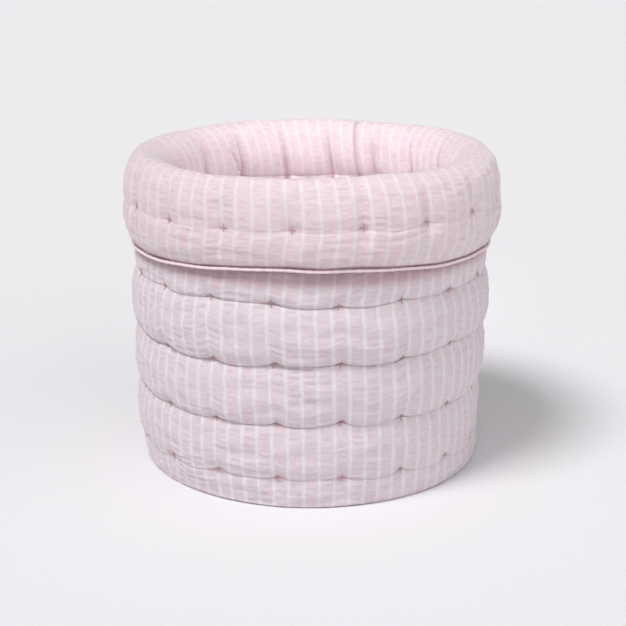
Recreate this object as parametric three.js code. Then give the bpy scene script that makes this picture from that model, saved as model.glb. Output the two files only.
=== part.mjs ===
// A soft sewing basket: a quilted fabric bin, tack-stitched through its padding, with its top turned down.
//
// The wall is one quilt of three layers: outer fabric, padding and lining. It stands up from a round
// base, goes over the rim and comes down outside as a cuff, so the lining shows on the cuff.
// Millimetres, +Z up, origin at the centre of the underside. The front is towards -Y.

import * as THREE from 'three';

// Driving dimensions
const HEIGHT = 254;
const RIM_RADIUS = 134;
const CUFF_RADIUS = 151;
const CUFF_EDGE_Z = 181;
const BASE_RADIUS = 136.5;
const MOUTH_RADIUS = 114.5;
const ROOM_RADIUS = 124;
const FABRIC = 0.9;
const GAP = 0.35;
const THREAD = 0.5;
const AROUND = 48;

// Base: a board and a padded floor, stacked inside the wall
const BOARD_THICKNESS = 1.6;
const BOARD_RADIUS = 122;
const PAD_THICKNESS = 8;
const PAD_RADIUS = 118;
const BINDING_THICKNESS = 1.8;
const BASE_SEAM_Z = FABRIC + GAP;
const WALL_FOOT_Z = BASE_SEAM_Z + THREAD + GAP;

// Cuff edge: a bound edge under its line of stitches
const EDGE_BINDING = 3;

// Tack stitches: crosses of thread on a square grid
const TACK_PITCH = 50.8;
const TACKS_AROUND = 18;
const TACKS_ACROSS_BASE = 4;
const TACK_ARM = 2.5;
const STEPS_BETWEEN_TACKS = 2;

// The side seam is at the back, inside
const SIDE_SEAM_DEGREES = 157.5;

const PINK = 0xe6c3cd;
const THREAD_PINK = 0xc9899b;
const BATTING_WHITE = 0xf4f1ee;
const BOARD_GREY = 0xb9b2a8;

// The quilt's two faces as [radius, z], from the foot up over the rim and down to the cuff's edge.
const FACE_OUTSIDE = [
  [BASE_RADIUS + 1.5, WALL_FOOT_Z],
  [142, 55],
  [144, 115],
  [142.5, 172],
  [136, 192],
  [RIM_RADIUS - 0.8, 210],
  [RIM_RADIUS, 236],
  [RIM_RADIUS + 1, 210],
  [137.6, 194],
  [CUFF_RADIUS - 5.2, CUFF_EDGE_Z],
];
const FACE_INSIDE = [
  [ROOM_RADIUS - 1, WALL_FOOT_Z],
  [ROOM_RADIUS, 92],
  [ROOM_RADIUS - 1, 160],
  [ROOM_RADIUS - 5, 190],
  [MOUTH_RADIUS, 214],
  [MOUTH_RADIUS + 3, 238],
  [RIM_RADIUS, HEIGHT],
  [CUFF_RADIUS - 3, 240],
  [CUFF_RADIUS, 214],
  [CUFF_RADIUS - 0.5, 196],
  [CUFF_RADIUS - 2, CUFF_EDGE_Z],
];

const group = new THREE.Group();

function addPart(name, geometry, color = PINK, roughness = 0.9) {
  const material = new THREE.MeshStandardMaterial({ color, roughness, metalness: 0 });
  const mesh = new THREE.Mesh(geometry, material);
  mesh.name = name;
  group.add(mesh);
}

// Turns an outline of [radius, z] points about the Z axis, anticlockwise from the inside foot.
function turn(outline) {
  const points = outline.map(([radius, z]) => new THREE.Vector2(radius, z));
  const geometry = new THREE.LatheGeometry(points, AROUND);
  geometry.rotateX(Math.PI / 2);
  return geometry;
}

function turnClosed(outline) {
  return turn([...outline, outline[0]]);
}

function ring(innerRadius, outerRadius, bottom, top) {
  return turnClosed([[innerRadius, bottom], [outerRadius, bottom], [outerRadius, top], [innerRadius, top]]);
}

function disc(radius, bottom, top) {
  return turn([[0, bottom], [radius, bottom], [radius, top], [0, top]]);
}

// A face moved to the left of the way it runs; its two ends keep their height.
function offsetFace(face, distance) {
  const curve = face.map(([radius, z]) => new THREE.Vector2(radius, z));
  const last = curve.length - 1;
  return curve.map((point, i) => {
    const along = curve[Math.min(i + 1, last)].clone().sub(curve[Math.max(i - 1, 0)]).normalize();
    const left = new THREE.Vector2(-along.y, along.x);
    const moved = left.multiplyScalar(distance).add(point);
    const isEnd = i === 0 || i === last;
    return [moved.x, isEnd ? point.y : moved.y];
  });
}

// A layer of the quilt: up over the rim on its inner side and back along its outer side.
function layer(inside, outside) {
  return turnClosed([...outside, ...inside.slice().reverse()]);
}

function addWall() {
  addPart('wall_outer_fabric', layer(offsetFace(FACE_OUTSIDE, FABRIC), FACE_OUTSIDE));
  const battingInside = offsetFace(FACE_INSIDE, -FABRIC - GAP);
  const battingOutside = offsetFace(FACE_OUTSIDE, FABRIC + GAP);
  addPart('wall_batting', layer(battingInside, battingOutside), BATTING_WHITE, 1);
  addPart('wall_lining_fabric', layer(FACE_INSIDE, offsetFace(FACE_INSIDE, -FABRIC)));
}

function addCuffEdge() {
  const seamTop = CUFF_EDGE_Z - GAP;
  const seamRadius = CUFF_RADIUS - 4.3;
  const seam = ring(seamRadius, seamRadius + THREAD, seamTop - THREAD, seamTop);
  addPart('cuff_edge_stitching', seam, THREAD_PINK);
  const bindingTop = seamTop - THREAD - GAP;
  const half = EDGE_BINDING / 2;
  const binding = ring(seamRadius - half, seamRadius + half, bindingTop - EDGE_BINDING, bindingTop);
  addPart('cuff_edge_binding', binding);
}

// Stacks the base's layers and returns the height of its lining's upper face.
function addBase() {
  addPart('base_outer_fabric', disc(BASE_RADIUS, 0, FABRIC));
  const seamRadius = BASE_RADIUS - 1;
  const seam = ring(seamRadius, seamRadius + THREAD, BASE_SEAM_Z, BASE_SEAM_Z + THREAD);
  addPart('base_seam_stitching', seam, THREAD_PINK);

  const boardTop = BASE_SEAM_Z + BOARD_THICKNESS;
  addPart('base_board', disc(BOARD_RADIUS, BASE_SEAM_Z, boardTop), BOARD_GREY, 0.8);
  const padBottom = boardTop + GAP;
  const padTop = padBottom + PAD_THICKNESS;
  addPart('base_batting', disc(PAD_RADIUS, padBottom, padTop), BATTING_WHITE, 1);
  const liningTop = padTop + GAP + FABRIC;
  addPart('base_lining_fabric', disc(PAD_RADIUS, padTop + GAP, liningTop));

  const bindingRadius = PAD_RADIUS + 2 * GAP;
  const binding = ring(bindingRadius, bindingRadius + BINDING_THICKNESS, padBottom, liningTop + 2);
  addPart('base_seam_binding', binding);
  return liningTop;
}

// One row of tacks round the wall, on the thread that runs on from each tack to the next. It is a
// three-sided ring of thread whose stations are moved: at each tack it stands tall for a moment.
function tackRing(radius, z, firstDegrees) {
  const low = THREAD / 2;
  const cross = [[-THREAD, low], [-THREAD / 2, TACK_ARM], [THREAD / 2, TACK_ARM], [THREAD, low]];
  const pitch = (2 * Math.PI) / TACKS_AROUND;
  const stations = [];
  for (let tack = 0; tack < TACKS_AROUND; tack += 1) {
    const middle = THREE.MathUtils.degToRad(firstDegrees) + tack * pitch;
    cross.forEach(([along, half]) => stations.push([middle + along / radius, half]));
    for (let step = 1; step <= STEPS_BETWEEN_TACKS; step += 1) {
      stations.push([middle + (step * pitch) / (STEPS_BETWEEN_TACKS + 1), low]);
    }
  }
  const section = [[0, -1], [THREAD, 0], [0, 1], [0, -1]];
  const points = section.map(([out, side]) => new THREE.Vector2(radius + out, side));
  const geometry = new THREE.LatheGeometry(points, stations.length);
  const position = geometry.getAttribute('position');
  for (let i = 0; i < position.count; i += 1) {
    const [angle, half] = stations[Math.floor(i / section.length) % stations.length];
    const [out, side] = section[i % section.length];
    const r = radius + out;
    position.setXYZ(i, r * Math.sin(angle), z + side * half, r * Math.cos(angle));
  }
  geometry.rotateX(Math.PI / 2);
  return geometry;
}

// Rows of tacks from the foot up, each just clear of the face that it shows on.
function addWallTacks() {
  const rows = [
    { name: 'tack_row_1', radius: 141, z: 24.3, first: 9.8 },
    { name: 'tack_row_2', radius: 143.2, z: 68.7, first: 9.6 },
    { name: 'tack_row_3', radius: 144.8, z: 115.3, first: 9.2 },
    { name: 'tack_row_4', radius: 143.6, z: 161.3, first: 8.4 },
    { name: 'tack_row_mouth', radius: MOUTH_RADIUS - 1.6, z: 214, first: 10.5 },
    { name: 'tack_row_cuff', radius: CUFF_RADIUS + 0.6, z: 217.5, first: 14.9 },
  ];
  rows.forEach(({ name, radius, z, first }) => addPart(name, tackRing(radius, z, first), THREAD_PINK, 0.7));
}

// A straight row of tacks in the floor: a line of thread with a bar across it at each tack.
function tackLine(count) {
  const half = THREAD / 2;
  const end = ((count - 1) * TACK_PITCH) / 2 + TACK_ARM;
  const places = Array.from({ length: count }, (_, i) => (i - (count - 1) / 2) * TACK_PITCH);
  const side = [new THREE.Vector2(-end, half)];
  for (const x of places) {
    side.push(new THREE.Vector2(x - half, half), new THREE.Vector2(x - half, TACK_ARM));
    side.push(new THREE.Vector2(x + half, TACK_ARM), new THREE.Vector2(x + half, half));
  }
  side.push(new THREE.Vector2(end, half));
  const otherSide = side.map((point) => new THREE.Vector2(-point.x, -point.y));
  const shape = new THREE.Shape([...side, ...otherSide]);
  return new THREE.ExtrudeGeometry(shape, { depth: THREAD, bevelEnabled: false });
}

// The floor's rows of tacks; the outer rows are shorter, to stay on the round floor.
function addBaseTacks(floorZ) {
  for (let row = 0; row < TACKS_ACROSS_BASE; row += 1) {
    const y = (row - (TACKS_ACROSS_BASE - 1) / 2) * TACK_PITCH;
    const isOuter = row === 0 || row === TACKS_ACROSS_BASE - 1;
    const geometry = tackLine(isOuter ? TACKS_ACROSS_BASE - 2 : TACKS_ACROSS_BASE);
    geometry.translate(0, y, floorZ + GAP);
    addPart(`base_tack_row_${row + 1}`, geometry, THREAD_PINK, 0.7);
  }
}

// The seam that closes the wall into a tube: its line of stitches up the inside, below the mouth.
function addSideSeam() {
  const clear = FABRIC + GAP;
  const angle = THREE.MathUtils.degToRad(SIDE_SEAM_DEGREES);
  const heights = [18, 55, 92, 126, 160, 180, 200];
  const path = heights.map((z) => {
    const above = FACE_INSIDE.findIndex((point) => point[1] >= z);
    const [r0, z0] = FACE_INSIDE[above - 1];
    const [r1, z1] = FACE_INSIDE[above];
    const r = THREE.MathUtils.mapLinear(z, z0, z1, r0, r1) - clear;
    return new THREE.Vector3(r * Math.sin(angle), -r * Math.cos(angle), z);
  });
  const half = THREAD / 2;
  const corners = [[-half, -half], [half, -half], [half, half], [-half, half]];
  const section = new THREE.Shape(corners.map(([x, y]) => new THREE.Vector2(x, y)));
  const extrudePath = new THREE.CatmullRomCurve3(path);
  const geometry = new THREE.ExtrudeGeometry(section, { steps: 12, extrudePath });
  addPart('side_seam_stitching', geometry, THREAD_PINK, 0.7);
}

addWall();
addCuffEdge();
const floorZ = addBase();
addWallTacks();
addBaseTacks(floorZ);
addSideSeam();

export default group;
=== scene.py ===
"""A quilted fabric basket with its padded rim turned down outside as a cuff."""
import math

import bpy
import numpy as np
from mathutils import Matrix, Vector


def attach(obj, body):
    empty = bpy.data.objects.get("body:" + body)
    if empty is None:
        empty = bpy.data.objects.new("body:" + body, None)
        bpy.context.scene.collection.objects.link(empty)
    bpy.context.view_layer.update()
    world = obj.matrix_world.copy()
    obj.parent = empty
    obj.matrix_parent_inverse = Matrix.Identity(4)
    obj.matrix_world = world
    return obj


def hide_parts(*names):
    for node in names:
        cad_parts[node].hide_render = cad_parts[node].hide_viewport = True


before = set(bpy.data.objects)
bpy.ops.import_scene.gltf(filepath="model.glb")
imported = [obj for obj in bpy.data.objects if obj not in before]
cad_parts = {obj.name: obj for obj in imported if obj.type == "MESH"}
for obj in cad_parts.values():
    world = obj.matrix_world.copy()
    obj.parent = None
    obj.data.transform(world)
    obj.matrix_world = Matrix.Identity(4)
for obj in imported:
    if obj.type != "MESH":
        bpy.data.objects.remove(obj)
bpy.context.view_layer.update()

MM = 0.001
rng = np.random.default_rng(11)

# ---------------------------------------------------------------- driving sizes, in millimetres

PITCH = 50.8
TACKS = 18
COLUMNS_PER_TACK = 20
COLUMNS = TACKS * COLUMNS_PER_TACK
CLOTH_AROUND = PITCH * TACKS
STRIPES = 76

# Rows of tacks from the foot up: height, radius of the tack outside and inside, the place of the
# first tack in degrees from the front, and how far the crease hangs between two tacks.
ROW_Z = [24.3, 68.7, 115.3, 161.3, 208.0]
ROW_OUT = [136.2, 137.0, 138.0, 137.8, 131.5]
ROW_IN = [131.0, 131.8, 132.6, 131.4, 120.5]
ROW_FIRST = [9.8, 9.6, 9.2, 8.4, 10.5]
ROW_SAG = [3.4, 3.0, 1.6, 0.8, 0.5]
FULLNESS = [5.2, 6.6, 8.2, 6.5]
# How deep each row is between its tacks, from 0, flush, to 1, as deep as the tacks
CREASE = [0.25, 0.75, 0.85, 0.5, 1.0]

CREST_R = 134.5
CREST_Z = 254.0
CREST_FIRST = 13.8
CUFF_ROW_R = 145.0
CUFF_ROW_Z = 217.5
CUFF_ROW_FIRST = 14.9
CUFF_EDGE_R = 145.8
CUFF_EDGE_Z = 182.5
CUFF_EDGE_FIRST = 13.7
FOOT_R = 136.9
FOOT_Z = 0.6
FLOOR_R = 121.5
FLOOR_Z = 10.0
SEAM_COLUMN = 148

# How many rows of mesh each part of a sheet has, from one row of tacks or fold to the next
OUTER_FOOT = 24
OUTER_CELL = 40
UNDER_CUFF = 8
LINING_FOOT = 8
LINING_CELL = 28
INSIDE_RIM = 40
OUTSIDE_RIM = 44
LOWER_CUFF = 40

# The rows of mesh that the tacks sit on, and the first row of the outer cloth inside the cuff
OUTER_ROWS = tuple(OUTER_FOOT + OUTER_CELL * k for k in range(4))
OUTER_TOP = OUTER_FOOT + OUTER_CELL * 4
LINING_ROWS = tuple(LINING_FOOT + LINING_CELL * k for k in range(4))
MOUTH_ROW = LINING_FOOT + LINING_CELL * 4
CUFF_ROW = MOUTH_ROW + INSIDE_RIM + OUTSIDE_RIM
CUFF_END = CUFF_ROW + LOWER_CUFF

# How much longer each sheet is than its shape, as the simulation takes it
OUTER_SLACK = 0.05
LINING_SLACK = 0.03

# The painted shadow on the body below the cuff's edge: where it starts, and over what height it fades
SHADE_BELOW = 16.0
SHADE_FADE = 11.0

THREAD_R = 0.38
SEAM_THREAD_R = 0.28


# ---------------------------------------------------------------- camera, light and floor

def make_camera():
    data = bpy.data.cameras.new("camera")
    data.lens = 78.1
    data.sensor_width = 36.0
    camera = bpy.data.objects.new("camera", data)
    bpy.context.collection.objects.link(camera)
    camera.location = (0.0019, -1.081, 0.436)
    camera.rotation_euler = (math.radians(90 - 16.61), 0, 0)
    bpy.context.scene.camera = camera


def sun(name, direction, spread, strength, colour=(1, 1, 1)):
    """A soft light from one direction: spread is how wide it looks, in degrees."""
    data = bpy.data.lights.new(name, "SUN")
    data.angle = math.radians(spread)
    data.energy = strength
    data.color = colour
    lamp = bpy.data.objects.new(name, data)
    lamp.location = Vector(direction) * 2
    lamp.rotation_euler = Vector(direction).to_track_quat("Z", "Y").to_euler()
    bpy.context.collection.objects.link(lamp)


def spot(name, place, target, size, spread, watts):
    """A narrow lamp on the mouth, which lights the rim and the inside but not the floor."""
    data = bpy.data.lights.new(name, "AREA")
    data.shape = "DISK"
    data.size = size
    data.spread = math.radians(spread)
    data.energy = watts
    lamp = bpy.data.objects.new(name, data)
    lamp.location = place
    lamp.rotation_euler = (Vector(target) - Vector(place)).to_track_quat("-Z", "Y").to_euler()
    bpy.context.collection.objects.link(lamp)


def glow(name, place, size, watts):
    """A weak lamp inside the basket, unseen itself, that fills in the dark between its walls."""
    data = bpy.data.lights.new(name, "POINT")
    data.shadow_soft_size = size
    data.energy = watts
    lamp = bpy.data.objects.new(name, data)
    lamp.location = place
    lamp.visible_camera = False
    bpy.context.collection.objects.link(lamp)


def make_studio():
    bpy.context.scene.view_settings.view_transform = "Standard"
    make_world()
    sun("key", (-0.37, -0.32, 0.87), 20, 2.15)
    sun("front", (0.06, -0.78, 0.62), 50, 0.42)
    sun("side", (0.78, -0.50, 0.36), 70, 0.7)
    spot("overhead", (0, 0, 0.9), (0, 0, 0), 0.16, 13, 0.030)
    spot("inside", (0, -0.85, 0.95), (0.02, 0.09, 0.262), 0.30, 10, 0.066)
    glow("within", (0.015, 0.0, 0.175), 0.05, 0.205)
    make_floor()


def make_world():
    """A pale studio, lighter at the horizon than overhead."""
    world = bpy.data.worlds.new("studio")
    world.use_nodes = True
    tree = world.node_tree
    background = tree.nodes["Background"]
    background.inputs["Color"].default_value = (0.985, 0.98, 1, 1)
    height = add(tree, "SeparateXYZ", {}, {0: add(tree, "TexCoord").outputs["Generated"]}).outputs["Z"]
    connect(tree, ramp(tree, height, 0.10, 0.45, 0.87, 0.30), background.inputs["Strength"])
    bpy.context.scene.world = world


def make_floor():
    bpy.ops.mesh.primitive_plane_add(size=60, location=(0, 0, -0.0002))
    floor = bpy.context.object
    floor.name = "floor"
    material, tree, shader = new_material("floor_paper", 0.95, 0.0)
    place = add(tree, "TexCoord").outputs["Object"]
    tint = add(tree, "TexNoise", {}, {"Vector": place, "Scale": 3.0}).outputs["Fac"]
    paper = mix(tree, tint, (0.765, 0.757, 0.775), (0.775, 0.767, 0.785))
    connect(tree, paper, shader.inputs["Base Color"])
    floor.data.materials.append(material)


# ---------------------------------------------------------------- nodes

def new_material(name, roughness, sheen):
    material = bpy.data.materials.new(name)
    material.use_nodes = True
    shader = material.node_tree.nodes["Principled BSDF"]
    shader.inputs["Roughness"].default_value = roughness
    shader.inputs["Specular IOR Level"].default_value = 0.15
    shader.inputs["Sheen Weight"].default_value = sheen
    shader.inputs["Sheen Roughness"].default_value = 0.5
    return material, material.node_tree, shader


def connect(tree, output, socket):
    tree.links.new(output, socket)


def add(tree, kind, settings=None, inputs=None):
    """A node with its settings, and its inputs as numbers or as other nodes' outputs."""
    made = tree.nodes.new("ShaderNode" + kind)
    for key, value in (settings or {}).items():
        setattr(made, key, value)
    for key, value in (inputs or {}).items():
        if isinstance(value, bpy.types.NodeSocket):
            tree.links.new(value, made.inputs[key])
        else:
            made.inputs[key].default_value = value
    return made


def calc(tree, operation, a, b=0.0):
    return add(tree, "Math", {"operation": operation}, {0: a, 1: b}).outputs[0]


def vector(tree, x, y, z=0.0):
    return add(tree, "CombineXYZ", {}, {"X": x, "Y": y, "Z": z}).outputs[0]


def noise(tree, place, detail=2.0, roughness=0.5):
    return add(tree, "TexNoise", {}, {"Vector": place, "Scale": 1.0, "Detail": detail,
                                      "Roughness": roughness}).outputs["Fac"]


def mix(tree, factor, a, b, blend="MIX"):
    made = add(tree, "Mix", {"data_type": "RGBA", "blend_type": blend}, {"Factor": factor})
    for key, value in ((6, a), (7, b)):
        if isinstance(value, bpy.types.NodeSocket):
            tree.links.new(value, made.inputs[key])
        else:
            made.inputs[key].default_value = (*value, 1)
    return made.outputs[2]


def ramp(tree, value, low, high, out_low=0.0, out_high=1.0):
    return add(tree, "MapRange", {"interpolation_type": "SMOOTHSTEP"},
               {"Value": value, "From Min": low, "From Max": high, "To Min": out_low,
                "To Max": out_high}).outputs[0]


def bump(tree, height, distance, strength=1.0, below=None):
    made = add(tree, "Bump", {}, {"Height": height, "Distance": distance, "Strength": strength})
    if below is not None:
        tree.links.new(below, made.inputs["Normal"])
    return made.outputs[0]


def millimetres(tree, source):
    """The cloth's own coordinates in millimetres: across the stripes, and along them."""
    split = add(tree, "SeparateXYZ", {}, {0: source})
    return (calc(tree, "MULTIPLY", split.outputs["X"], CLOTH_AROUND),
            calc(tree, "MULTIPLY", split.outputs["Y"], CLOTH_AROUND))


def yarns(tree, across, along, pitch):
    """A plain weave's relief, in yarns of about the given pitch."""
    uneven = noise(tree, vector(tree, calc(tree, "DIVIDE", across, 4), calc(tree, "DIVIDE", along, 4)))
    one = calc(tree, "SINE", calc(tree, "MULTIPLY", across, math.tau / pitch))
    two = calc(tree, "SINE", calc(tree, "MULTIPLY", along, math.tau / pitch))
    return calc(tree, "MULTIPLY", calc(tree, "MULTIPLY", one, two), uneven)


def stripes(tree, across, along, contrast):
    """Thin feathered white stripes: how white the cloth is, the distance from one, and their count."""
    wobble = noise(tree, vector(tree, calc(tree, "DIVIDE", across, 5), calc(tree, "DIVIDE", along, 9)))
    count = calc(tree, "MULTIPLY", across, STRIPES / CLOTH_AROUND)
    shake = calc(tree, "MULTIPLY", calc(tree, "SUBTRACT", wobble, 0.5), 0.16)
    shaken = calc(tree, "FRACT", calc(tree, "ADD", count, shake))
    away = calc(tree, "ABSOLUTE", calc(tree, "SUBTRACT", shaken, 0.5))
    white = ramp(tree, away, 0.02, 0.26, contrast, 0.0)
    grains = vector(tree, calc(tree, "DIVIDE", across, 1.3), calc(tree, "DIVIDE", along, 5))
    patchy = ramp(tree, noise(tree, grains, 3), 0.25, 0.7, 0.6, 1.0)
    return calc(tree, "MULTIPLY", white, patchy), away, count


def slubs(tree, across, along, away, count):
    """Thick places in the yarns across each pink band, different from band to band."""
    band = calc(tree, "FLOOR", calc(tree, "ADD", count, 0.5))
    start = calc(tree, "MULTIPLY", band, 13.7)
    where = calc(tree, "ADD", start, calc(tree, "DIVIDE", across, 11))
    slub = noise(tree, vector(tree, where, calc(tree, "DIVIDE", along, 2.6)), 2, 0.55)
    return calc(tree, "MULTIPLY", slub, ramp(tree, away, 0.06, 0.2))


def striped_cotton(name, pink, white, depth, contrast):
    """Crinkled cotton: pink bands with slubs across them, and thin feathered white stripes."""
    material, tree, shader = new_material(name, 0.88, 0.18)
    across, along = millimetres(tree, add(tree, "UVMap", {"uv_map": "cloth"}).outputs["UV"])
    stripe, away, count = stripes(tree, across, along, contrast)
    slub = slubs(tree, across, along, away, count)
    clouds = vector(tree, calc(tree, "DIVIDE", across, 30), calc(tree, "DIVIDE", along, 30))
    cloud = noise(tree, clouds, 3)
    darker = tuple(c * f for c, f in zip(pink, (0.90, 0.84, 0.86)))
    paler = tuple(min(1, c * 1.08) for c in pink)
    ground = mix(tree, ramp(tree, slub, 0.30, 0.62), darker, pink)
    ground = mix(tree, calc(tree, "MULTIPLY", cloud, 0.35), ground, paler)
    # The crease attribute darkens the colour towards depth: painted shade in the folds, at the tacks and
    # under the cuff.
    crease = add(tree, "Attribute", {"attribute_name": "crease"}).outputs["Fac"]
    colour = mix(tree, crease, mix(tree, stripe, ground, white), depth, "MULTIPLY")
    connect(tree, colour, shader.inputs["Base Color"])
    connect(tree, ramp(tree, cloud, 0.3, 0.7, 0.82, 0.94), shader.inputs["Roughness"])
    relief = bump(tree, slub, 0.0006, 0.8)
    weave = bump(tree, yarns(tree, across, along, 0.62), 0.00006, 0.7, relief)
    connect(tree, weave, shader.inputs["Normal"])
    return material


def plain_cotton(name, colour, scale=700.0):
    """Crepe cotton without stripes, for bindings: small grains and a soft change of colour."""
    material, tree, shader = new_material(name, 0.86, 0.2)
    place = add(tree, "TexCoord").outputs["Object"]
    grains = add(tree, "TexNoise", {}, {"Vector": place, "Scale": scale, "Detail": 3.0}).outputs["Fac"]
    clouds = add(tree, "TexNoise", {}, {"Vector": place, "Scale": 60.0, "Detail": 2.0}).outputs["Fac"]
    darker = tuple(c * 0.86 for c in colour)
    body = mix(tree, ramp(tree, grains, 0.35, 0.65), darker, colour)
    body = mix(tree, calc(tree, "MULTIPLY", clouds, 0.3), body, tuple(min(1, c * 1.1) for c in colour))
    connect(tree, body, shader.inputs["Base Color"])
    connect(tree, ramp(tree, clouds, 0.3, 0.7, 0.8, 0.92), shader.inputs["Roughness"])
    connect(tree, bump(tree, grains, 0.0003, 0.7), shader.inputs["Normal"])
    return material


def twisted_thread(name, colour):
    material, tree, shader = new_material(name, 0.55, 0.1)
    place = add(tree, "TexCoord").outputs["Object"]
    twist = add(tree, "TexWave", {"bands_direction": "DIAGONAL"},
                {"Vector": place, "Scale": 900.0, "Distortion": 1.0}).outputs["Fac"]
    shade = mix(tree, twist, tuple(c * 0.7 for c in colour), colour)
    connect(tree, shade, shader.inputs["Base Color"])
    connect(tree, ramp(tree, twist, 0, 1, 0.5, 0.65), shader.inputs["Roughness"])
    connect(tree, bump(tree, twist, 0.0001, 0.6), shader.inputs["Normal"])
    return material


def loose_fibre(name, colour, scale, depth):
    """Wadding or pressed board: tangled fibres of about the given scale."""
    material, tree, shader = new_material(name, 0.95, 0.1)
    place = add(tree, "TexCoord").outputs["Object"]
    fibre = add(tree, "TexNoise", {}, {"Vector": place, "Scale": scale, "Detail": 6.0,
                                       "Distortion": 2.0}).outputs["Fac"]
    body = mix(tree, fibre, tuple(c * 0.8 for c in colour), colour)
    connect(tree, body, shader.inputs["Base Color"])
    connect(tree, ramp(tree, fibre, 0.3, 0.7, 0.85, 1.0), shader.inputs["Roughness"])
    connect(tree, bump(tree, fibre, depth, 0.8), shader.inputs["Normal"])
    return material


# ---------------------------------------------------------------- the quilt's surfaces

def smooth_noise(columns, size):
    """Periodic noise round the basket, one value for each column, with bumps of size tacks."""
    spectrum = np.fft.rfft(rng.normal(size=columns))
    waves = np.arange(spectrum.size)
    limit = TACKS / size / 2
    spectrum *= np.exp(-(waves / limit) ** 2)
    made = np.fft.irfft(spectrum, columns)
    return made / made.std()


def per_tack(values):
    """One value for each column, from one value for each gap between two tacks."""
    return np.repeat(values, COLUMNS_PER_TACK)


# Columns start at a tack; in_gap is how far a column is from the tack to its left, 0 to 1.
in_gap = np.tile(np.arange(COLUMNS_PER_TACK) / COLUMNS_PER_TACK, TACKS)
from_tack = np.minimum(in_gap, 1 - in_gap) * PITCH


def row_line(radius, z, sag, crease_out, dip_width=7.0, spread=1.2):
    """A row of tacks as radius and height for each column: deepest at the tacks, hanging between."""
    depth = crease_out * (1 - np.exp(-(from_tack / dip_width) ** 2))
    amounts = np.maximum(rng.normal(sag, spread, TACKS), 0.2 * sag)
    lean = rng.uniform(-0.25, 0.25, TACKS)
    warped = np.clip(in_gap + per_tack(lean) * in_gap * (1 - in_gap) * 2, 0, 1)
    hang = per_tack(amounts) * np.sin(math.pi * warped) ** 0.8
    wander = smooth_noise(COLUMNS, 1.5) * 0.8
    return np.stack([radius + depth, z - hang + wander], axis=1)


def bezier(start, leave, arrive, end, steps):
    """Points from start towards end, without the end: steps rows of a curve for each column."""
    s = (np.arange(steps) / steps)[:, None, None]
    return (1 - s) ** 3 * start + 3 * (1 - s) ** 2 * s * leave + 3 * (1 - s) * s * s * arrive + s ** 3 * end


def shifted(line, out, up):
    return line + np.stack([np.broadcast_to(out, COLUMNS), np.broadcast_to(up, COLUMNS)], axis=1)


def constant_line(radius, z):
    return shifted(np.zeros((COLUMNS, 2)), radius, z)


def angles_between(first, last, steps):
    """The columns' angles from one row to the next, in radians."""
    s = (np.arange(steps) / steps)[:, None]
    s = s * s * (3 - 2 * s)
    degrees = first * (1 - s) + last * s + np.arange(COLUMNS) * 360 / COLUMNS
    return np.radians(degrees)


def cell(start, leave, arrive, end, turn, steps):
    """One part of a sheet: a curve for each column, and its angles from one row to the next."""
    return bezier(start, leave, arrive, end, steps), angles_between(*turn, steps)


def assemble(cells):
    """Joins cells of (points, angles) into x, y, z for each row and column."""
    profile = np.concatenate([points for points, _ in cells])
    angle = np.concatenate([angles for _, angles in cells])
    radius, z = profile[..., 0], profile[..., 1]
    fuller_left = -1.9 * np.sin(angle) * np.exp(-((z - 45) / 45) ** 2) * (z > 8)
    radius = radius + fuller_left * np.clip((z - 8) / 20, 0, 1)
    on_the_cuff = np.clip((z - 186) / 15, 0, 1) * np.clip((radius - 138) / 8, 0, 1)
    radius = radius + 2.2 * on_the_cuff * np.clip(np.sin(angle), 0, 1)
    return np.stack([radius * np.sin(angle), -radius * np.cos(angle), z], axis=-1)


def cuff_edge_line():
    """The lower edge of the cuff, as radius and height for each column."""
    around = np.radians(CUFF_EDGE_FIRST + np.arange(COLUMNS) * 360 / COLUMNS)
    height = CUFF_EDGE_Z + 3.5 * np.cos(2 * around) + 0.5 * smooth_noise(COLUMNS, 1.5)
    height = height + 0.35 * smooth_noise(COLUMNS, 0.5)
    return shifted(constant_line(CUFF_EDGE_R, 0), 0.5 * smooth_noise(COLUMNS, 2), height)


def puffiness(amount):
    """How full each cell of the quilt is, a little different from cell to cell."""
    pillow = 0.95 + 0.05 * np.sin(math.pi * in_gap) ** 0.7
    return amount * pillow * (1 + 0.06 * smooth_noise(COLUMNS, 1.2))


def soft_steps(values):
    """Blurs a value that jumps at the tacks, round the basket."""
    blurred = values
    for _ in range(6):
        blurred = (np.roll(blurred, 1) + 2 * blurred + np.roll(blurred, -1)) / 4
    return blurred


def flush_share(crease):
    """How far the fold between two tacks opens out: 0 at the tacks, more where the crease is faint."""
    away = 1 - np.exp(-(from_tack / 9) ** 2)
    return np.clip((1 - crease) * away * per_tack(rng.uniform(0.6, 1.3, TACKS)), 0, 1)


def outer_body(lines, foot):
    """The outer cloth from the foot up the body, one puffed cell for each row of tacks."""
    flush = [flush_share(crease) for crease in CREASE]
    low = shifted(lines[0], 2.6 - 2.0 * flush[0], -5 - 2 * flush[0])
    turn = (ROW_FIRST[0], ROW_FIRST[0])
    cells = [cell(foot, shifted(foot, 1.4, 6), low, lines[0], turn, OUTER_FOOT)]
    for k in range(4):
        full = soft_steps(puffiness(FULLNESS[k]))
        near = np.exp(-(from_tack / 4) ** 2)
        dip = 2.2 * np.exp(-(from_tack / 7) ** 2)
        out = full * (1.05 - 0.7 * flush[k]) + dip
        leave = shifted(lines[k], out, -1.5 + 3.5 * near + 9 * flush[k])
        out = full * (1.05 - 0.4 * flush[k + 1]) + dip
        arrive = shifted(lines[k + 1], out, -7.5 - 4 * flush[k + 1])
        turn = (ROW_FIRST[k], ROW_FIRST[k + 1])
        cells.append(cell(lines[k], leave, arrive, lines[k + 1], turn, OUTER_CELL))
    return cells


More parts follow.
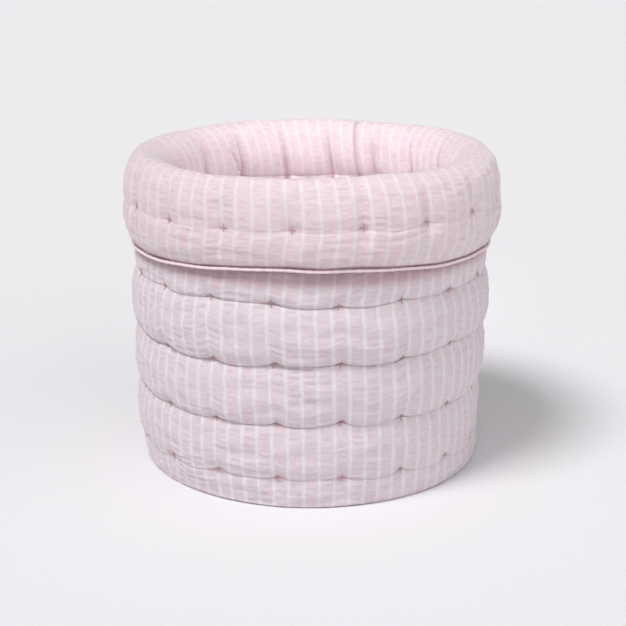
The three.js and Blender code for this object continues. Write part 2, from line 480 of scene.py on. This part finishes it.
def outer_surface(edge):
    """The outer cloth from the foot up the body, then over inside the rim and down in the cuff."""
    lines = [row_line(r + 0.3, z, sag, 1.4 + 2 * (1 - crease))
             for r, z, sag, crease in zip(ROW_OUT, ROW_Z, ROW_SAG, CREASE)]
    foot = shifted(constant_line(FOOT_R, FOOT_Z), 0.5 * smooth_noise(COLUMNS, 1.6), 0)
    cells = outer_body(lines, foot)
    fold = constant_line(CREST_R - 0.2, 238)
    inner_row = constant_line(CREST_R + 2.5, 216)
    end = shifted(edge, -2.6, 2)
    path = ((lines[4], shifted(lines[4], 1, 10), shifted(fold, -0.8, 0), fold),
            (fold, shifted(fold, 0.8, 0), shifted(inner_row, -1, 8), inner_row),
            (inner_row, shifted(inner_row, 1, -12), shifted(end, -1, 10), end))
    first = (ROW_FIRST[4], CREST_FIRST, CUFF_ROW_FIRST, CUFF_EDGE_FIRST)
    for k in range(3):
        cells.append(cell(*path[k], (first[k], first[k + 1]), UNDER_CUFF))
    return assemble(cells)


def upright_crease(depth, sharpness=0.7):
    """How far the lining stands back at each column: deepest at the tacks, none between them."""
    more_on_the_left = 1 - 0.6 * np.sin(np.arange(TACKS) * math.tau / TACKS)
    strength = rng.uniform(0.3, 1.2, TACKS) * more_on_the_left
    nearest = np.roll(per_tack(strength), -COLUMNS_PER_TACK // 2)
    return depth * nearest * (1 - np.abs(np.sin(math.pi * in_gap)) ** sharpness)


def crest_line(back):
    """The top of the rim, a little uneven, and lower where the lining is drawn back."""
    out = smooth_noise(COLUMNS, 3) * 0.8
    up = smooth_noise(COLUMNS, 3) * 0.9 + smooth_noise(COLUMNS, 0.8) * 0.4 - 0.07 * back
    return shifted(constant_line(CREST_R, CREST_Z), out, up)


def lining_inside(lines):
    """The lining from the floor up to the row at the mouth."""
    foot = constant_line(FLOOR_R + 0.5, FLOOR_Z)
    turn = (ROW_FIRST[0], ROW_FIRST[0])
    cells = [cell(foot, shifted(foot, 1, 5), shifted(lines[0], -5, -4), lines[0], turn, LINING_FOOT)]
    for k in range(4):
        full = -6.5 + upright_crease(3.5)
        leave = shifted(lines[k], full, 3)
        arrive = shifted(lines[k + 1], full, -8)
        turn = (ROW_FIRST[k], ROW_FIRST[k + 1])
        cells.append(cell(lines[k], leave, arrive, lines[k + 1], turn, LINING_CELL))
    return cells


def lining_surface(edge):
    """The lining from the floor up the inside, over the crest and down the outside of the cuff."""
    lines = [row_line(r, z, 0.5 * sag, -4.0) for r, z, sag in zip(ROW_IN, ROW_Z, ROW_SAG)]
    cells = lining_inside(lines)
    back = upright_crease(5.5, 0.45)
    crest = crest_line(back)
    leave = shifted(lines[4], -10.5 + back, 10)
    arrive = shifted(crest, -22.5 + 0.6 * back, -2)
    cells.append(cell(lines[4], leave, arrive, crest, (ROW_FIRST[4], CREST_FIRST), INSIDE_RIM))
    row = row_line(CUFF_ROW_R, CUFF_ROW_Z, 1.0, 4.6)
    near = np.exp(-(from_tack / 10) ** 2)
    full = soft_steps(puffiness(1.0))
    leave = shifted(crest, 11, 0.3)
    arrive = shifted(row, 1.8 + 2.0 * near, 17)
    cells.append(cell(crest, leave, arrive, row, (CREST_FIRST, CUFF_ROW_FIRST), OUTSIDE_RIM))
    groove = shifted(edge, -2.2, 2.2)
    leave = shifted(row, (2.4 + 2.6 * near) * full, -6)
    arrive = shifted(groove, 8.6, 6.5)
    cells.append(cell(row, leave, arrive, groove, (CUFF_ROW_FIRST, CUFF_EDGE_FIRST), LOWER_CUFF))
    last = np.radians(CUFF_EDGE_FIRST + np.arange(COLUMNS) * 360 / COLUMNS)
    cells.append((groove[None], last[None]))
    return assemble(cells)


def soften(points, row, reach, rounds=3):
    """Rounds off the fold along one row of tacks, where the cloth is full and the crease is shallow."""
    for _ in range(rounds):
        part = points[row - reach:row + reach + 1]
        points[row - reach + 1:row + reach] = (part[:-2] + 2 * part[1:-1] + part[2:]) / 4
    return points


# ---------------------------------------------------------------- cloth simulation

def grain(rows, columns, tall, wide):
    """Random relief, periodic round the basket, with bumps of about tall rows by wide columns."""
    spectrum = np.fft.rfft2(rng.normal(size=(rows, columns)))
    up = np.fft.fftfreq(rows)[:, None] * tall
    across = np.fft.rfftfreq(columns)[None] * wide
    spectrum *= np.exp(-(up ** 2 + across ** 2) * 4) * (1 - np.exp(-(up ** 2 + across ** 2) * 8))
    relief = np.fft.irfft2(spectrum, (rows, columns))
    return relief / relief.std()


def normals(points):
    across = np.roll(points, -1, axis=1) - np.roll(points, 1, axis=1)
    up = np.gradient(points, axis=0)
    normal = np.cross(across, up)
    return normal / np.maximum(np.linalg.norm(normal, axis=-1, keepdims=True), 1e-9)


def pull_pairs(points, moved, first, second, rest, share):
    """Moves each pair of points towards its rest length; first and second never hold a point twice."""
    gap = points[second] - points[first]
    length = np.sqrt((gap * gap).sum(axis=-1))
    change = (share * 0.5 * (1 - rest / np.maximum(length, 1e-6)))[..., None] * gap
    points[first] += change * moved[first]
    points[second] -= change * moved[second]


def spring_ends(rows, down, along, turn):
    """The two ends of every second spring of one kind, as indexes into the sheet's points."""
    row = np.arange(rows)
    column = np.arange(COLUMNS)
    if down:
        starts = row[:rows - down]
        starts = starts[(starts // down) % 2 == turn]
        return np.ix_(starts, column), np.ix_(starts + down, (column + along) % COLUMNS)
    starts = column[(column // along) % 2 == turn]
    return np.ix_(row, starts), np.ix_(row, (starts + along) % COLUMNS)


SPRINGS = ((1, 0, 1.0), (0, 1, 1.0), (1, 1, 0.4), (1, -1, 0.4), (2, 0, 0.15), (0, 2, 0.5))


def relax(points, slack, held, rounds=60):
    """A position-based cloth: the sheet is a little longer than its shape, and buckles to fit.

    held says how strongly each point is kept to its place, from 0, free, to 1, fixed."""
    target = points.copy()
    rows = points.shape[0]
    points = points + normals(points) * (grain(rows, COLUMNS, 7, 7) * 0.25 * (1 - held))[..., None]
    free = (1 - held)[..., None]
    springs = []
    for down, along, share in SPRINGS:
        for turn in range(2):
            first, second = spring_ends(rows, down, along, turn)
            rest = np.linalg.norm(target[second] - target[first], axis=-1)
            longer = slack if along == 0 else slack / 2 if down else 0
            springs.append((first, second, rest * (1 + longer), share))
    for _ in range(rounds):
        for first, second, rest, share in springs:
            pull_pairs(points, free, first, second, rest, share)
        points += (target - points) * (held * 0.5 + 0.004)[..., None]
    return points


def hold(rows, tack_rows, share, fixed):
    """Tacks and the fixed rows hold their points; the rest of a row of tacks is held by a share."""
    held = np.zeros((rows, COLUMNS))
    for r in tack_rows:
        held[r] = share
        held[r, ::COLUMNS_PER_TACK] = 1
    held[fixed] = 1
    return held


def run_of(points):
    """How far along the cloth each row is, in millimetres."""
    length = np.linalg.norm(np.diff(points, axis=0), axis=-1).mean(axis=1)
    return np.concatenate([[0], np.cumsum(length)])


def crinkle(points, height, still):
    """Small wrinkles across each pink band, different from band to band and none on the stripes."""
    run = run_of(points)
    samples = np.arange(0, run[-1] + 2, 0.5)
    spectrum = np.fft.rfft(rng.normal(size=(STRIPES, samples.size)), axis=1)
    waves = np.fft.rfftfreq(samples.size, 0.5)
    spectrum *= np.exp(-((waves - 0.18) / 0.08) ** 2)
    table = np.fft.irfft(spectrum, samples.size, axis=1)
    table /= table.std()
    across = np.arange(COLUMNS) / COLUMNS * STRIPES + 0.5
    band = np.floor(across).astype(int) % STRIPES
    relief = np.stack([np.interp(run, samples, table[b]) for b in band], axis=1)
    relief *= np.sin(math.pi * (across - np.floor(across))) ** 0.8
    uneven = np.clip(1 + 0.45 * grain(*relief.shape, 30, 14), 0.2, 2)
    return points + normals(points) * (height * relief * uneven * (1 - still))[..., None]


def slanting_fold(points):
    """One fold that runs up from a tack of the mouth and slants to the left; its dent is returned as
    painted shade.
    """
    rows = np.arange(MOUTH_ROW, MOUTH_ROW + 24)
    t = (rows - MOUTH_ROW)[:, None] / 23
    away = np.arange(COLUMNS) - (200 + 6.5 * t)
    dent = np.exp(-(away / 0.9) ** 2) * (1 - t ** 3)
    lip = np.exp(-((away - 2) / 1.5) ** 2) * (1 - t ** 3)
    points[rows] += normals(points)[rows] * (2.4 * dent)[..., None]
    points[rows] -= normals(points)[rows] * (1.2 * lip)[..., None]
    mark = np.zeros(points.shape[:2])
    mark[rows] = dent
    return mark


def sink_seam(points, first, last, depth):
    """The side seam draws the cloth in along one column; its dent, from 0 to 1, is returned as painted
    shade.
    """
    away = np.abs(np.arange(COLUMNS) - SEAM_COLUMN)
    dent = depth * np.exp(-(away / 1.1) ** 2)
    rows = np.arange(points.shape[0])
    there = ((rows >= first) & (rows <= last))[:, None]
    points -= normals(points) * (dent * there)[..., None]
    return np.abs(dent) * there / abs(depth)


# ---------------------------------------------------------------- meshes

def link(name, points, faces, material):
    mesh = bpy.data.meshes.new(name)
    mesh.from_pydata((np.asarray(points).reshape(-1, 3) * MM).tolist(), [], faces.tolist())
    mesh.shade_smooth()
    mesh.materials.append(material)
    thing = bpy.data.objects.new(name, mesh)
    bpy.context.collection.objects.link(thing)
    return thing


def ring_faces(rows, columns, round_rows=False):
    """Quads through rows of points that close round the basket, and round the rows too if asked."""
    used = rows if round_rows else rows - 1
    row, column = np.meshgrid(np.arange(used), np.arange(columns), indexing="ij")
    above = (row + 1) % rows
    following = (column + 1) % columns
    return np.stack([row * columns + column, row * columns + following,
                     above * columns + following, above * columns + column], axis=-1).reshape(-1, 4)


def sheet_object(name, points, crease, material):
    """A cloth of quads through rows and columns of points, with its own UV map and the painted shade of its
    creases.
    """
    rows, columns = points.shape[:2]
    thing = link(name, points, ring_faces(rows, columns), material)
    row, column = np.meshgrid(np.arange(rows - 1), np.arange(columns), indexing="ij")
    across = np.stack([column, column + 1, column + 1, column], axis=-1) / columns
    up = np.stack([row, row, row + 1, row + 1], axis=-1)
    uv = np.stack([across, (run_of(points) / CLOTH_AROUND)[up]], axis=-1)
    cloth_data(thing, uv, crease)
    return thing


def cloth_data(thing, uv, crease):
    """The UV map that the stripes follow, and how much painted shade darkens each point, from 0 to 1."""
    thing.data.uv_layers.new(name="cloth").data.foreach_set("uv", uv.astype(np.float32).ravel())
    mark = thing.data.attributes.new("crease", "FLOAT", "POINT")
    mark.data.foreach_set("value", np.clip(crease, 0, 1).astype(np.float32).ravel())


def crease_shade_lines(rows, lines):
    """Painted shade along the folds at each point: strongest on a row of tacks, faint in some of the gaps.
    """
    dark = np.zeros((rows, COLUMNS))
    for r, strength, between in lines:
        gap = between * per_tack(rng.uniform(0.35, 1.0, TACKS))
        near = np.exp(-(from_tack / 9) ** 2)
        line = strength * (near + (1 - near) * gap)
        for step, share in ((-1, 0.15), (0, 1.0), (1, 0.45), (2, 0.15)):
            dark[r + step] = np.maximum(dark[r + step], share * line)
    return dark


def threads(name, paths, radius, material, beads=0):
    """Short stitches of thread, each a thin tube along its own path, with beads where it dips."""
    count, steps = paths.shape[:2]
    along = np.gradient(paths, axis=1)
    along /= np.maximum(np.linalg.norm(along, axis=-1, keepdims=True), 1e-9)
    aside = np.cross(along, [0.31, 0.47, 0.83])
    aside /= np.linalg.norm(aside, axis=-1, keepdims=True)
    other = np.cross(along, aside)
    t = np.linspace(0, 1, steps)
    girth = radius * np.maximum(1 - (2 * t - 1) ** 8, 0.05)
    if beads:
        girth = girth * (0.62 + 0.38 * np.abs(np.sin(math.pi * beads * t)))
    turn = np.arange(6) * math.tau / 6
    ring = np.cos(turn)[:, None] * aside[..., None, :] + np.sin(turn)[:, None] * other[..., None, :]
    points = paths[:, :, None] + ring * girth[None, :, None, None]
    one = ring_faces(steps, 6)
    faces = (one[None] + (np.arange(count) * steps * 6)[:, None, None]).reshape(-1, 4)
    return link(name, points, faces, material)


def crosses(points, row, side, lift):
    """The two arms of each cross-shaped tack along one row, on the side of the sheet that shows."""
    column = np.arange(0, COLUMNS, COLUMNS_PER_TACK)
    centre = points[row, column]
    across = points[row, (column + 2) % COLUMNS] - points[row, column - 2]
    across /= np.linalg.norm(across, axis=-1, keepdims=True)
    outward = side * normals(points)[row - 5:row + 6, column].mean(axis=0)
    outward /= np.linalg.norm(outward, axis=-1, keepdims=True)
    upward = np.cross(outward, across)
    t = np.linspace(-1, 1, 17)[None, :, None]
    tilt = rng.normal(0, 0.10, column.size)[:, None, None]
    made = []
    for one, other, over in ((across, upward, 0.0), (upward, across, 0.5)):
        bow = outward[:, None] * (lift + over + 0.4 * t ** 2)
        made.append(centre[:, None] + bow + 3.2 * t * (one[:, None] + tilt * other[:, None]))
    return np.concatenate(made)


def dashes(line, out, length, pitch, closed=True):
    """Stitches along a line of points, each a short path standing a little out of the cloth."""
    ends = np.concatenate([line, line[:1]]) if closed else line
    run = np.concatenate([[0], np.cumsum(np.linalg.norm(np.diff(ends, axis=0), axis=1))])
    count = int(run[-1] // pitch)
    starts = np.arange(count) * run[-1] / count
    t = np.linspace(0, 1, 7)
    where = starts[:, None] + t * length
    path = np.stack([np.interp(where, run, ends[:, k]) for k in range(3)], axis=-1)
    outs = np.concatenate([out, out[:1]]) if closed else out
    away = np.stack([np.interp(where, run, outs[:, k]) for k in range(3)], axis=-1)
    return path + away * (np.sin(math.pi * t) ** 0.5)[None, :, None]


def roll(name, angle, radius, height, half, gather, cloth):
    """A thin rolled strip all the way round; half is its half width and half height."""
    turn = np.arange(14) * math.tau / 14
    across = radius + np.outer(np.cos(turn), half[0] * gather)
    up = height + np.outer(np.sin(turn), half[1] * gather)
    points = np.stack([across * np.sin(angle), -across * np.cos(angle), up], axis=-1)
    return link(name, points, ring_faces(14, angle.size, True), cloth)


# ---------------------------------------------------------------- pieces

def own(piece, slot, *nodes):
    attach(piece, "root")
    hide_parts(*nodes)
    return piece


def shaped(outer, lining):
    """Both sheets after the simulation and the small wrinkles."""
    outer_held = hold(len(outer), OUTER_ROWS, 0.3, [0, *range(OUTER_TOP, len(outer))])
    lining_held = hold(len(lining), LINING_ROWS + (MOUTH_ROW, CUFF_ROW), 0.2, [0, -1])
    outer = relax(outer, OUTER_SLACK, outer_held)
    lining = relax(lining, LINING_SLACK, lining_held)
    outer = crinkle(outer, 0.16, outer_held)
    outer[..., 2] = np.maximum(outer[..., 2], 0.3)
    return outer, crinkle(lining, 0.08, lining_held)


def outer_painted_shade(outer, cuff_height):
    """Painted shade in the folds between the puffs, and a painted shadow on the cloth just under the cuff's
    edge.
    """
    dark = crease_shade_lines(len(outer), [(r, 1.0, c) for r, c in zip(OUTER_ROWS, CREASE)])
    painted_cuff_shadow = np.clip((outer[..., 2] - (cuff_height - SHADE_BELOW)) / SHADE_FADE, 0, 1)
    return dark, 0.95 * painted_cuff_shadow * painted_cuff_shadow


def lining_painted_shade(lining):
    """Painted shade at the tacks, in the upright folds inside the mouth, and in the groove at the edge."""
    tacks = [(r, 0.5, 1) for r in LINING_ROWS + (MOUTH_ROW,)]
    dark = crease_shade_lines(len(lining), tacks + [(CUFF_ROW, 0.35, 0.25)])
    upright = 0.8 * np.exp(-(from_tack / 2.2) ** 2) * (from_tack < 8)
    rows = np.arange(len(lining))[:, None]
    dark = np.maximum(dark, upright * np.clip(1 - np.abs(rows - MOUTH_ROW - 10) / 22, 0, 1))
    # Painted shade in the groove above the binding.
    dark[-2:] = 1.0
    dark[-3] = 0.6
    dark[-4] = 0.2
    return dark


def wall_cloths(edge, cotton, lining_cotton):
    outer = outer_surface(edge)
    lining = soften(lining_surface(edge), CUFF_ROW, 7)
    seam_out_shade = sink_seam(outer, 2, OUTER_TOP, 1.6)
    seam_in_shade = sink_seam(lining, 4, CUFF_END, -1.4)
    outer, lining = shaped(outer, lining)
    slant_shade = slanting_fold(lining)
    # Painted shade in the folds and along the side seam, and a painted shadow under the cuff's edge.
    dark, painted_cuff_shadow = outer_painted_shade(outer, edge[:, 1].mean())
    dark = np.maximum(dark + 0.5 * seam_out_shade, painted_cuff_shadow)
    outer_cloth = sheet_object("wall_outer_cloth", outer, dark, cotton)
    # Painted shade at the tacks, in the folds and along the side seam inside.
    dark = lining_painted_shade(lining) + 0.5 * seam_in_shade + slant_shade
    lining_cloth = sheet_object("wall_lining_cloth", lining, dark, lining_cotton)
    own(outer_cloth, "outer_fabric", "wall_outer_fabric")
    own(lining_cloth, "lining_fabric", "wall_lining_fabric")
    return outer, lining


def wall_padding(outer, lining, wadding):
    """The padding between the two cloths: a closed body a little inside both."""
    inner_side = outer[::2, ::2] - normals(outer)[::2, ::2] * 1.4
    lining_side = lining[::2, ::2] + normals(lining)[::2, ::2] * 1.4
    loop = np.concatenate([inner_side, lining_side[::-1]])
    loop[..., 2] = np.maximum(loop[..., 2], 1.5)
    padding = link("wall_padding", loop, ring_faces(len(loop), COLUMNS // 2, True), wadding)
    own(padding, "batting", "wall_batting")


def stitches(name, paths, node, thread):
    """Tacks, each with the beads of its twist."""
    own(threads(name, paths, THREAD_R, thread, 4), "thread", node)


def tack_pieces(outer, lining, thread):
    for k in range(4):
        outside = crosses(outer, OUTER_ROWS[k], 1, 2.3)
        inside = crosses(lining, LINING_ROWS[k], -1, 1.0)
        stitches(f"tacks_row_{k + 1}", np.concatenate([outside, inside]), f"tack_row_{k + 1}", thread)
    stitches("tacks_mouth", crosses(lining, MOUTH_ROW, -1, 1.0), "tack_row_mouth", thread)
    stitches("tacks_cuff", crosses(lining, CUFF_ROW, -1, 1.0), "tack_row_cuff", thread)


def binding_piece(edge, cloth):
    """A narrow rolled binding round the cuff's edge, drawn in a little at each stitch."""
    step = np.arange(2 * COLUMNS)
    angle = np.radians(CUFF_EDGE_FIRST + step * 180 / COLUMNS)
    whole = np.concatenate([edge, edge[:1]])
    radius = np.interp(step / 2, np.arange(COLUMNS + 1), whole[:, 0]) - 0.4
    height = np.interp(step / 2, np.arange(COLUMNS + 1), whole[:, 1]) + 0.6
    gather = 1 + 0.10 * np.sin(step * math.tau / 6.0 + 2 * np.sin(angle * 9))
    piece = roll("cuff_binding", angle, radius, height, (1.35, 1.1), gather, cloth)
    own(piece, "binding", "cuff_edge_binding")


def seam_stitches(outer, lining, thread):
    """Stitches in the groove above the binding, and down the side seam inside and out."""
    out = normals(lining)
    round_the_cuff = dashes(lining[-2], out[-2] * -0.25, 2.3, 3.2)
    piece = threads("cuff_edge_stitches", round_the_cuff, SEAM_THREAD_R, thread)
    own(piece, "thread", "cuff_edge_stitching")
    up = slice(4, OUTER_TOP - 2)
    outside = dashes(outer[up, SEAM_COLUMN], normals(outer)[up, SEAM_COLUMN] * 0.3, 2.2, 3.2, False)
    up = slice(6, CUFF_END - 2)
    inside = dashes(lining[up, SEAM_COLUMN], out[up, SEAM_COLUMN] * -0.3, 2.2, 3.2, False)
    piece = threads("side_seam_stitches", np.concatenate([outside, inside]), SEAM_THREAD_R, thread)
    own(piece, "thread", "side_seam_stitching")


# ---------------------------------------------------------------- the base

HALF = PITCH / 2
FLOOR_ROWS = ((-3 * HALF, (-HALF, HALF)), (-HALF, (-3 * HALF, -HALF, HALF, 3 * HALF)),
              (HALF, (-3 * HALF, -HALF, HALF, 3 * HALF)), (3 * HALF, (-HALF, HALF)))
FLOOR_TACKS = [(x, y) for y, row in FLOOR_ROWS for x in row]
SEAM_R = 132.5


def disc(name, radius, rings, around, height, material, tack_shade=0.0):
    """A round cloth with planar UVs, whose height is a function of x and y in millimetres.

    The last argument is the painted shade at the floor's tacks, from 0 to 1."""
    r = radius * np.linspace(0.004, 1, rings)[:, None]
    angle = np.arange(around) * math.tau / around
    x = r * np.sin(angle)
    y = -r * np.cos(angle)
    points = np.stack([x, y, height(x, y)], axis=-1)
    thing = link(name, points, ring_faces(rings, around), material)
    loops = np.empty(len(thing.data.loops), dtype=np.int32)
    thing.data.loops.foreach_get("vertex_index", loops)
    flat = points.reshape(-1, 3)[loops][:, :2] / CLOTH_AROUND + 0.5
    cloth_data(thing, flat, seat_marks(x, y) * tack_shade)
    return thing, points


def seat_marks(x, y):
    """1 at the tacks of the floor, and 0 away from them."""
    near = np.zeros(x.shape)
    for tx, ty in FLOOR_TACKS:
        near = np.maximum(near, np.exp(-((x - tx) ** 2 + (y - ty) ** 2) / 30))
    return near


def floor_height(x, y):
    """The quilted floor: a pillow in each square of tacks, drawn down at the tacks and folds."""
    across = np.abs(np.sin(math.pi * (x - HALF) / PITCH))
    along = np.abs(np.sin(math.pi * (y - HALF) / PITCH))
    pillow = 1.2 + 2.6 * (across * along) ** 0.5 + 0.9 * np.minimum(across, along)
    edge = np.clip((FLOOR_R - np.hypot(x, y)) / 12, 0, 1)
    ripple = np.sin(y * 1.55 + 1.7 * np.sin(x * 0.5)) * np.sin(x * math.pi * STRIPES / CLOTH_AROUND)
    return 8.7 + pillow * edge ** 0.5 + 0.12 * ripple - seat_marks(x, y)


def underside_height(x, y):
    """The cloth under the board: taut, drawn up a little into the seam round its edge."""
    r = np.hypot(x, y)
    angle = np.arctan2(x, -y)
    tuck = np.exp(-((r - SEAM_R) / 1.2) ** 2)
    pull = np.sin(angle * 53 + 2 * np.sin(angle * 7)) * np.clip((r - 100) / 36, 0, 1) ** 2
    lifted = 0.35 + 0.125 * pull + 0.6 * tuck + 0.4 * np.clip((r - 134) / 3, 0, 1)
    return np.clip(lifted, 0.02, 2)


def base_cloth(name, radius, rings, around, height, cotton, tack_shade, material_slot, node):
    """One of the two round cloths of the base, which hides its part from model.glb."""
    cloth, points = disc(name, radius, rings, around, height, cotton, tack_shade)
    own(cloth, material_slot, node)
    return points


def base_padding(floor, wadding):
    """A flat pad that fills the room under the quilted floor."""
    upper = floor[::2, ::2] * [0.965, 0.965, 1] - [0, 0, 1.3]
    lower = upper * [1, 1, 0] + [0, 0, 3.3]
    loop = np.concatenate([upper, lower[::-1]])
    padding = link("base_padding", loop, ring_faces(len(loop), upper.shape[1], True), wadding)
    own(padding, "batting", "base_batting")


def base_pieces(cotton, lining_cotton, binding, wadding, board, thread):
    base_cloth("base_outer_cloth", FOOT_R, 80, 360, underside_height, cotton, 0.0,
               "outer_fabric", "base_outer_fabric")
    floor = base_cloth("base_lining_cloth", FLOOR_R, 110, 300, floor_height, lining_cotton, 0.8,
                       "lining_fabric", "base_lining_fabric")
    base_padding(floor, wadding)
    foot_stitches(thread)
    floor_tacks(thread)
    floor_binding(binding)
    card = bpy.data.objects["base_board"]
    card.data.materials.clear()
    card.data.materials.append(board)


def foot_stitches(thread):
    angle = np.arange(360) * math.tau / 360
    line = np.stack([SEAM_R * np.sin(angle), -SEAM_R * np.cos(angle), np.full(360, 0.75)], axis=-1)
    down = np.tile([0, 0, -0.2], (360, 1))
    piece = threads("base_seam_stitches", dashes(line, down, 2.4, 3.4), SEAM_THREAD_R, thread)
    own(piece, "thread", "base_seam_stitching")


def floor_tacks(thread):
    t = np.linspace(-1, 1, 13)
    for k, (row_y, row) in enumerate(FLOOR_ROWS):
        paths = []
        for row_x in row:
            for ax, ay in ((2.7, 0.2), (-0.2, 2.7)):
                x = row_x + ax * t
                y = row_y + ay * t
                paths.append(np.stack([x, y, floor_height(x, y) + 0.45], axis=-1))
        stitches(f"base_tacks_row_{k + 1}", np.array(paths), f"base_tack_row_{k + 1}", thread)


def floor_binding(cloth):
    """A bias strip over the seam where the wall's lining meets the floor."""
    angle = np.arange(720) * math.tau / 720
    gather = 1 + 0.07 * np.sin(angle * 120 + 2 * np.sin(angle * 11))
    piece = roll("base_binding", angle, FLOOR_R - 0.8, FLOOR_Z + 0.6, (1.7, 2.6), gather, cloth)
    own(piece, "binding", "base_seam_binding")


# ---------------------------------------------------------------- build

make_camera()
make_studio()
OUTER_PINK = (0.655, 0.563, 0.600)
OUTER_WHITE = (0.725, 0.715, 0.740)
# The two crease colours below darken each cloth in its folds, at its tacks and under the cuff: painted
# shade.
OUTER_CREASE_SHADE = (0.70, 0.56, 0.59)
LINING_PINK = (0.668, 0.552, 0.584)
LINING_WHITE = (0.740, 0.724, 0.744)
LINING_CREASE_SHADE = (0.66, 0.50, 0.52)
outer_cotton = striped_cotton("striped_cotton", OUTER_PINK, OUTER_WHITE, OUTER_CREASE_SHADE, 0.86)
inner_cotton = striped_cotton("striped_lining", LINING_PINK, LINING_WHITE, LINING_CREASE_SHADE, 0.66)
binding_cotton = plain_cotton("binding_cotton", (0.80, 0.655, 0.695))
pink_thread = twisted_thread("pink_thread", (0.62, 0.32, 0.37))
seam_thread = twisted_thread("seam_thread", (0.62, 0.42, 0.47))
wadding_fibre = loose_fibre("wadding", (0.85, 0.84, 0.82), 400.0, 0.0006)
board_fibre = loose_fibre("grey_board", (0.42, 0.39, 0.35), 900.0, 0.0001)

cuff_edge = cuff_edge_line()
outer_points, lining_points = wall_cloths(cuff_edge, outer_cotton, inner_cotton)
wall_padding(outer_points, lining_points, wadding_fibre)
tack_pieces(outer_points, lining_points, pink_thread)
binding_piece(cuff_edge, binding_cotton)
seam_stitches(outer_points, lining_points, seam_thread)
base_pieces(outer_cotton, inner_cotton, binding_cotton, wadding_fibre, board_fibre, pink_thread)
